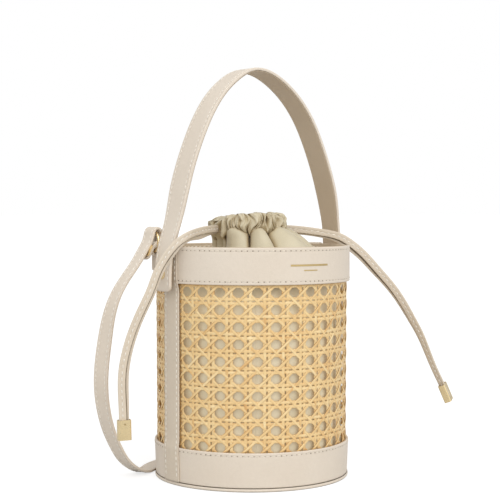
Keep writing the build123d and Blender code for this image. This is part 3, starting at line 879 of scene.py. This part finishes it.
def build_hem():
    """The gathered tunnel whose doubled top closes to a small mouth."""
    centre_x, centre_y = -1.9, 1.45
    outside_length = 26               # path length over which the lower outside edge waves
    degrees = np.linspace(0, 360, 620, endpoint=False)
    angles = np.radians(degrees)
    folds, _ = fold(degrees)
    profile, _, distances, knots = spline(HEM_PROFILE[:, :2], 0.85)
    strengths = np.interp(knots, np.arange(len(HEM_PROFILE)), HEM_PROFILE[:, 2])
    rings = []
    for (r, z), strength, d in zip(profile, strengths, distances):
        bend = noise_around(angles, 2.3, d * 0.10)
        bent = angles + np.radians(10.0) * bend * min(1, r / 22)
        puffs = bulge(between(np.degrees(bent), PUFF_EDGES)[2], 0.6)
        pleats = ridges(bent, 6.4, d * 0.05)
        small_pleats = ridges(bent, 12.5, d * 0.10, 5)
        soft = noise_around(angles, 2.6, d * 0.05, 3)
        calm = min(1.0, r / 24.0)     # calms the gathers towards the mouth
        radius = r * (1 - 0.085 * rise(r, 18, 26)) + strength * calm * (
            -1.4 * (1 - puffs) - 2.9 * np.maximum(pleats - 0.30, 0)
            + 1.45 * (small_pleats - 0.35) + 1.5 * soft)
        x, y = radius * np.cos(angles), radius * np.sin(angles)
        low = rise(z, 191, 185) if d < outside_length else 0.0
        high = rise(z, 193, 198)
        rightward = x * VIEW_RIGHT[0] + y * VIEW_RIGHT[1]
        droop = np.exp(-((rightward + 24) / 8.0) ** 2)
        height = z + low * (4.4 * (folds - 0.5) - 3.0 * droop)
        height += high * calm * (1.7 * (puffs - 0.55) + 0.9 * soft
                                 - 0.0030 * (rightward - 10) ** 2 + 0.5)
        height += 0.35 * strength * calm * (pleats - 0.4)
        rings.append(np.stack([centre_x + x, centre_y + y, height], 1))
    make("pouch_hem_ruffle", *loft(rings, closed=True), [SATIN], "satin", body="pouch_neck",
         replaces=("pouch_hem",))


# ---------------------------------------------------------------- handle
# x, z along the outer surface, from left to right
HANDLE_LINE = [
    (-82.2, 142.6), (-82.2, 155.5), (-81.2, 167.0), (-79.4, 176.0), (-76.3, 185.5),
    (-72.2, 198.8), (-67.7, 217.6), (-62.0, 236.8), (-54.5, 256.0), (-45.7, 273.7),
    (-35.2, 288.8), (-20.7, 302.0), (-4.9, 309.4), (7.9, 308.6), (23.6, 301.6),
    (39.7, 288.8), (52.0, 273.6), (61.6, 256.0), (70.0, 236.0), (75.6, 219.0),
    (79.2, 203.0), (81.7, 183.8), (82.3, 168.0), (82.2, 155.5), (82.2, 142.6)]


def build_handle():
    """Two layers of strap, wider over the top of the arch."""
    outer_width, outer_thickness, corner = 19.4, 2.24, 4.0
    # name, material, width, thickness, middle below the line, stitch rows, crown, CAD, slot
    layers = [
        ("handle_outer_leather", LEATHER, outer_width, outer_thickness, outer_thickness / 2,
         (-7.4, 7.4), 0.1, "handle_outer_strap", "leather"),
        ("handle_lining_leather", LINING, 18.4, 0.58, 2.57,
         (), 0.04, "handle_lining_strap", "lining_leather")]
    positions, tangents, distances, _ = spline([(x, 0, z) for x, z in HANDLE_LINE], 1.25)
    across = np.tile([0.0, 1.0, 0.0], (len(positions), 1))
    out = unit(np.cross(tangents, across))
    sway = np.array([[0, 0.25 * noise_at(d * 0.012, 4.0, 0), 0] for d in distances])
    widening = 1 + 0.19 * rise(positions[:, 2], 186, 222)
    scale = end_rounding(distances, outer_width / 2, corner) * widening
    for name, material, width, thickness, depth, rows, crown, cad_name, slot in layers:
        middle = positions - out * depth + sway
        layer = MeshGroup()
        layer.add(*loft(sweep(middle, across, out,
                              strap_section(width, thickness, rows, crown), scale)))
        for row in rows:
            surface = middle + out * (thickness / 2) + across * row * widening[:, None]
            stitches(layer, surface, tangents, out, distances, skip=3.0)
        layer.build(name, [material, THREAD, HOLE_SHADE], slot, body="handle", replaces=(cad_name,))


# ---------------------------------------------------------------- shoulder strap
STRAP_END_Y = 18.5
# x, z of the loops at both ends, from the hanging part to the tail; the left is mirrored
LEFT_LOOP = [
    (96.0, 159.2), (91.4, 165.2), (86.6, 172.5), (82.8, 178.6), (81.0, 183.8), (79.7, 187.2),
    (77.3, 188.6), (74.6, 187.0), (73.5, 183.4), (74.7, 180.1), (77.5, 178.5), (80.3, 175.7),
    (83.2, 170.9), (85.9, 165.9)]
RIGHT_LOOP = [
    (93.2, 159.2), (90.9, 162.4), (87.8, 166.2), (84.9, 170.4), (82.4, 173.6), (79.0, 175.2),
    (76.4, 173.9), (75.5, 171.4), (75.7, 169.0), (76.9, 166.8), (79.0, 165.2), (81.4, 163.6),
    (84.0, 161.2), (86.0, 158.6)]
# x, y, z, x component of the width direction (its y is 1), from the loop to behind the bag
HANGING_HALF = [
    (101.7, 19.7, 151.2, 0), (108.2, 22.0, 139.0, 0.05), (112.2, 24.9, 123.5, 0.16),
    (113.7, 28.2, 106.0, 0.3), (114.4, 31.2, 88.5, 0.34), (113.4, 34.0, 71.0, 0.34),
    (109.8, 36.6, 54.0, 0.3), (104.2, 38.8, 38.5, 0.26), (96.4, 41.0, 24.2, 0.22),
    (87.4, 43.2, 12.5, 0.22), (77.8, 45.6, 5.6, 0.28), (69.4, 48.6, 2.1, 0.5),
    (61.0, 54.0, 1.3, 0.85), (50.0, 63.6, 1.25, 0.8), (36.0, 72.8, 1.25, 0.5),
    (19.0, 79.4, 1.25, 0.25)]
STRAP_MIDDLE = (0.0, 81.6, 1.25, 0)


def build_shoulder_strap():
    """One ribbon from tail to tail."""
    width, thickness, corner = 12.8, 2.0, 3.0
    stitch_rows = (-4.2, 4.2)
    lowest_z = 1.15
    left, right = ([(x, STRAP_END_Y, z, 0) for x, z in loop[::-1]] + HANGING_HALF
                   for loop in (LEFT_LOOP, RIGHT_LOOP))
    stations = np.array([(-x, y, z, -lean) for x, y, z, lean in left] + [STRAP_MIDDLE]
                        + right[::-1])
    positions, tangents, distances, knots = spline(stations[:, :3], 1.2)
    lean = np.interp(knots, np.arange(len(stations)), stations[:, 3])
    across = np.stack([lean, np.ones_like(lean), np.zeros_like(lean)], 1)
    across = unit(across - tangents * (across * tangents).sum(1)[:, None])
    up = unit(np.cross(tangents, across))
    positions[:, 2] = np.maximum(positions[:, 2], lowest_z)
    strap = MeshGroup()
    section = strap_section(width, thickness, stitch_rows, crown=0.1)
    strap.add(*loft(sweep(positions, across, up, section,
                          end_rounding(distances, width / 2, corner))))
    for face in (1, -1):
        for row in stitch_rows:
            stitches(strap, positions + up * face * thickness / 2 + across * row, tangents,
                     up * face, distances, skip=3.0)
    obj = strap.build("shoulder_strap_leather", [LEATHER, THREAD, HOLE_SHADE], "leather",
                      replaces=("shoulder_strap", "strap_end_left", "strap_end_right"))
    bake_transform(obj)


# ---------------------------------------------------------------- drawstrings
# A run is a vertical plane in plan: (start x, y), (direction x, y)
LEFT_INNER = ((-33.8, 1.9), (-39.2, -17.9))
LEFT_OUTER = ((-73.0, -16.0), (-45.0, 12.0))
RIGHT_RUN = ((30.0, 1.4), (42.4, -20.8))


def along_run(run, stations):
    """Points in a run's plane from (distance from its start, z)."""
    (x, y), direction = run
    dx, dy = unit(direction)
    return [(x + dx * d, y + dy * d, z) for d, z in stations]


LEFT_CORD = along_run(LEFT_INNER, [
    (-12.0, 187.3), (5.0, 187.2), (20.0, 186.2), (30.0, 184.8), (38.2, 183.0),
]) + along_run(LEFT_OUTER, [
    (4.6, 178.4), (13.8, 168.2), (20.0, 158.1), (25.4, 145.0), (33.2, 129.2), (40.0, 113.7),
    (44.2, 100.3), (46.5, 87.9), (47.0, 75.0), (46.3, 60.0), (46.0, 50.0), (45.8, 41.6)])
RIGHT_CORD = along_run(RIGHT_RUN, [
    (-12.0, 187.3), (5.7, 186.9), (23.5, 185.2), (34.0, 183.6), (42.0, 181.9), (46.5, 180.4),
    (54.2, 176.0), (66.2, 166.2), (77.5, 154.3), (88.6, 142.3), (98.0, 129.9), (106.3, 116.5),
    (114.5, 101.9), (120.9, 87.0), (126.6, 73.7), (132.1, 62.3), (136.7, 52.5)])


def drawstring(label, side, line, inner_run, outer_run, pivot, twist):
    """Two stitched strands side by side; side is -1 left, 1 right; twist is in degrees.

    From around the pivot the strands turn by the twist towards the tip.
    """
    split_start = 36.0                # distance along the cord where the strands part
    positions, tangents, distances, knots = spline(line, 1.0)
    # the plan direction is constant inside and turns gently to the outer run at the rim
    inside, outside = (unit(np.array([*run[1], 0.0])) for run in (inner_run, outer_run))
    turned_out = rise(knots, 3.0, 5.6)[:, None]
    heading = unit(inside * (1 - turned_out) + outside * turned_out)
    # the facing normal points towards the camera
    facing = side * np.stack([heading[:, 1], -heading[:, 0], 0 * heading[:, 0]], 1)
    facing = unit(facing - tangents * (facing * tangents).sum(1)[:, None])
    across = side * unit(np.cross(facing, tangents))
    # a twisted tail turns edge-on towards its tip
    pivot = np.array(pivot)
    start = distances[np.argmin(np.linalg.norm(positions - pivot, axis=1))]
    tail = np.clip((distances - start) / (distances[-1] - start), 0, 1)
    turn = (rise(tail, 0.10, 0.85) * math.radians(twist))[:, None]
    across, facing = (across * np.cos(turn) + facing * np.sin(turn),
                      facing * np.cos(turn) - across * np.sin(turn))

    split = np.clip((distances - split_start) / (distances[-1] - split_start), 0, 1)
    opening = rise(split, 0, 0.22)
    closing = rise(split, 0.80, 1.0)
    cord = MeshGroup()
    # painted shade: a thin dark strip in the needle-hole colour lies between the two strands and
    # reads as the shaded gap between them
    cord.add(*loft(sweep(positions - across * (0.25 + 0.3 * opening[:, None]), across, facing,
                         strap_section(4.2, 0.4))), slot=HOLE_SLOT)
    # the nearer strand keeps to the outside of the curve; the farther one slips inwards
    lift = 0.80 + 0.45 * opening * (1 - closing)
    near_slip = 0.55 + 0.45 * opening * (1 + 0.25 * np.sin(split * 9.0))
    far_slip = -0.60 - (0.95 * opening * (1 + 0.25 * np.sin(split * 9.0 + 1))
                        * (1 - 0.5 * closing))
    if label == "left":
        # between the hem and the rim the farther strand sags a little below the nearer one
        far_slip -= 2.4 * np.exp(-((distances - 33) / 14.0) ** 2)
        far_slip -= 0.35 * opening * (1 - closing)
    section = strap_section(5.5, 1.4, (0.0,), crown=0.06)
    for sign, slip in ((1, near_slip), (-1, far_slip)):
        middle = positions + facing * (sign * lift)[:, None] + across * slip[:, None]
        cord.add(*loft(sweep(middle, across, facing, section)))
        for face in (1, -1):
            stitches(cord, middle + facing * face * 0.66, tangents, facing * face, distances,
                     pitch=4.4, skip=6.0)
    obj = cord.build("drawstring_leather_" + label, [SOFT, THREAD, HOLE_SHADE], "leather",
                     replaces=("drawstring_" + label, "drawstring_" + label + "_tail"))
    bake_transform(obj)


def build_drawstrings():
    drawstring("left", -1, LEFT_CORD, LEFT_INNER, LEFT_OUTER, pivot=(-72.7, -16.1, 181.6),
               twist=0)
    drawstring("right", 1, RIGHT_CORD, RIGHT_RUN, RIGHT_RUN, pivot=(71.33, -18.87, 180.6),
               twist=58)


# ---------------------------------------------------------------- pieces kept from the CAD
SINGLE_PIECES = {
    "base_panel": LEATHER, "base_board": BOARD, "base_lining": SATIN, "base_stiffener": BOARD,
    "bottom_facing": LINING, "rim_stiffener": BOARD, "foil_mark": FOIL}
PAIRED_PIECES = {
    "handle_washer": LINING, "handle_stud": GOLD, "stud_nut": GOLD, "ring": GOLD,
    "ring_tab": LEATHER, "strap_slider": GOLD, "cord_tip": GOLD, "tip_screw": FOIL}
SOFT_EDGED = ("cord_tip", "strap_slider", "ring_tab", "handle_washer")


def dress_cad_pieces():
    """Materials, smooth shading and small bevels."""
    sharp = math.radians(40)
    pieces = dict(SINGLE_PIECES)
    for name, material in PAIRED_PIECES.items():
        pieces[name + "_left"] = pieces[name + "_right"] = material
    for name, material in pieces.items():
        obj = frame["nodes"][name]
        obj.data.materials.clear()
        obj.data.materials.append(material)
        with bpy.context.temp_override(object=obj, active_object=obj, selected_objects=[obj],
                                       selected_editable_objects=[obj]):
            bpy.ops.object.shade_smooth_by_angle(angle=sharp)
        if name.startswith(SOFT_EDGED):
            bevel = obj.modifiers.new("soft_edge", "BEVEL")
            bevel.width = 0.00025
            bevel.segments = 2
            bevel.limit_method = "ANGLE"
            bevel.angle_limit = sharp


# ---------------------------------------------------------------- stage, light, camera
def build_floor():
    """White paper: nearly white when seen, an ordinary pale floor for the light it returns."""
    half_size = 40
    material, s = new_material("floor_paper")
    patches = s.noise(s.coords(), Scale=3.0, Detail=2.0)
    camera_ray = s.node("LightPath").outputs["Is Camera Ray"]
    seen = s.ramp(patches, (0.3, 0.40), (0.7, 0.405))
    s.finish(Base_Color=s.mix((0.62, 0.62, 0.62), seen, camera_ray), Roughness=0.9,
             Specular_IOR_Level=0.05, Emission_Color=(1, 1, 1),
             Emission_Strength=s.calc("MULTIPLY", camera_ray, 0.70))
    mesh = bpy.data.meshes.new("floor")
    corners = ((-1, -1), (1, -1), (1, 1), (-1, 1))
    mesh.from_pydata([(x * half_size, y * half_size, 0) for x, y in corners], [], [(0, 1, 2, 3)])
    floor = bpy.data.objects.new("floor", mesh)
    mesh.materials.append(material)
    bpy.context.scene.collection.objects.link(floor)


def build_world():
    """White surroundings, brighter in front and above, with a dark patch for reflections."""
    world = bpy.data.worlds.new("studio")
    bpy.context.scene.world = world
    s = Shader(world, "OutputWorld", "Background")
    coords = s.coords("Generated")
    rays = s.node("LightPath").outputs

    def toward(direction, **limits):
        """A smooth value over the cosine of the angle to a direction."""
        cosine = s.node("VectorMath", coords, tuple(Vector(direction).normalized()),
                        operation="DOT_PRODUCT").outputs["Value"]
        return s.smoothstep(cosine, **limits)

    softbox = toward((-0.40, -0.86, 0.62), from_min=-0.30, from_max=1.0,
                     to_min=0.58, to_max=1.28)
    # the dark lens side, seen in glossy reflections only
    lens_azimuth = math.radians(-105)
    lens = toward((math.cos(lens_azimuth), math.sin(lens_azimuth), 0.02),
                  from_min=0.972, from_max=0.990, to_min=1.0, to_max=0.05)
    strength = s.calc("MULTIPLY", softbox, s.mix_values(1.0, lens, rays["Is Glossy Ray"]))
    s.finish(Color=(1.0, 1.0, 1.0),
             Strength=s.mix_values(strength, 1.0, rays["Is Camera Ray"]))


def add_key_light():
    """A soft area light in front and above."""
    location, target = Vector((-0.25, -1.15, 1.20)), Vector((0, 0, 0.12))
    light = bpy.data.lights.new("key", "AREA")
    light.energy = 4.0
    light.size = 0.55
    light.color = (1, 1, 1)
    obj = bpy.data.objects.new("key", light)
    bpy.context.scene.collection.objects.link(obj)
    obj.location = location
    obj.rotation_euler = (target - location).to_track_quat("-Z", "Y").to_euler()


def add_camera():
    """A long lens from the front left, looking slightly down."""
    yaw, pitch = math.radians(0.0645707), math.radians(1.70)
    camera = bpy.data.cameras.new("camera")
    obj = bpy.data.objects.new("camera", camera)
    bpy.context.scene.collection.objects.link(obj)
    bpy.context.scene.camera = obj
    camera.sensor_width = 36.0
    camera.lens = 96.336
    camera.clip_start, camera.clip_end = 0.05, 50
    obj.location = (-0.6209, -0.8146, 0.2018)
    level = Vector((*VIEW_HEADING, 0)).normalized()
    level.rotate(Matrix.Rotation(yaw, 3, "Z"))
    aim = Vector((level.x * math.cos(pitch), level.y * math.cos(pitch), -math.sin(pitch)))
    obj.rotation_euler = aim.to_track_quat("-Z", "Y").to_euler()


def set_colour_view():
    view = bpy.context.scene.view_settings
    view.view_transform = "Standard"
    view.look = "None"
    view.exposure = 0.0


# The order matters: stitches and strands draw from one random sequence.
build_bands()
build_rim()
build_piping()
build_side_strips()
build_cane()
build_pouch()
build_hem()
build_handle()
build_shoulder_strap()
build_drawstrings()
dress_cad_pieces()
build_floor()
build_world()
add_key_light()
add_camera()
set_colour_view()
